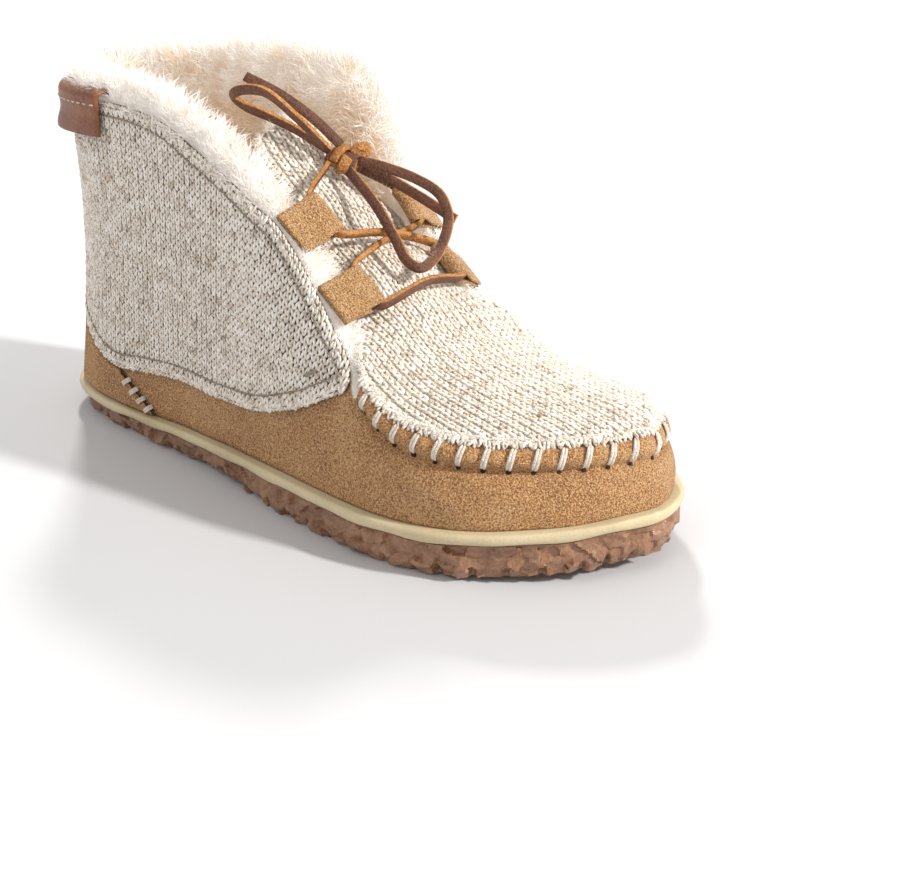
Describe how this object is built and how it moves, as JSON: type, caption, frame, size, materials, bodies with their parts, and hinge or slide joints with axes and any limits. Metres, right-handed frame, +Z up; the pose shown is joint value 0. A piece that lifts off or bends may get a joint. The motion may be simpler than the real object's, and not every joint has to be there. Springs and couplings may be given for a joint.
{
  "type": "ankle boot",
  "caption": "Right ankle boot of moccasin make: lugged rubber sole, suede body, knitted quarters and tongue, pile collar, leather lace run through loop tabs.",
  "frame": {"origin": "on the floor, at the middle of the boot's length and width, measured without the knot, loops and ends of the lace", "axes": "+X to the toe, +Y to the inner (medial) side, which is the wearer's left, +Z up"},
  "size_m": [0.2606, 0.0985, 0.1375],
  "materials": {
    "gum_rubber": "translucent brown rubber, rough chiselled side",
    "cream_foam": "smooth matt cream band",
    "tan_suede": "napped suede",
    "oatmeal_knit": "stockinette of mixed oatmeal and grey yarn",
    "wool_pile": "deep soft pile",
    "lace_leather": "smooth grain side, raw tan flesh side",
    "chestnut_leather": "smooth leather, plain"
  },
  "bodies": {
    "root": {"outsole": "gum_rubber", "midsole": "cream_foam", "insole": "wool_pile", "upper": "tan_suede", "quarter_lateral": "oatmeal_knit", "quarter_medial": "oatmeal_knit", "heel_counter": "tan_suede", "tongue": "oatmeal_knit", "pile_collar": "wool_pile", "pull_tab": "chestnut_leather", "lace_tab_lateral_lower": "tan_suede", "lace_tab_lateral_upper": "tan_suede", "lace_tab_medial_lower": "tan_suede", "lace_tab_medial_upper": "tan_suede", "lace_crossings": "lace_leather", "lace_knot": "lace_leather", "lace_loop_1": "lace_leather", "lace_loop_2": "lace_leather", "lace_end_1": "lace_leather", "lace_end_2": "lace_leather"}
  },
  "joints": []
}
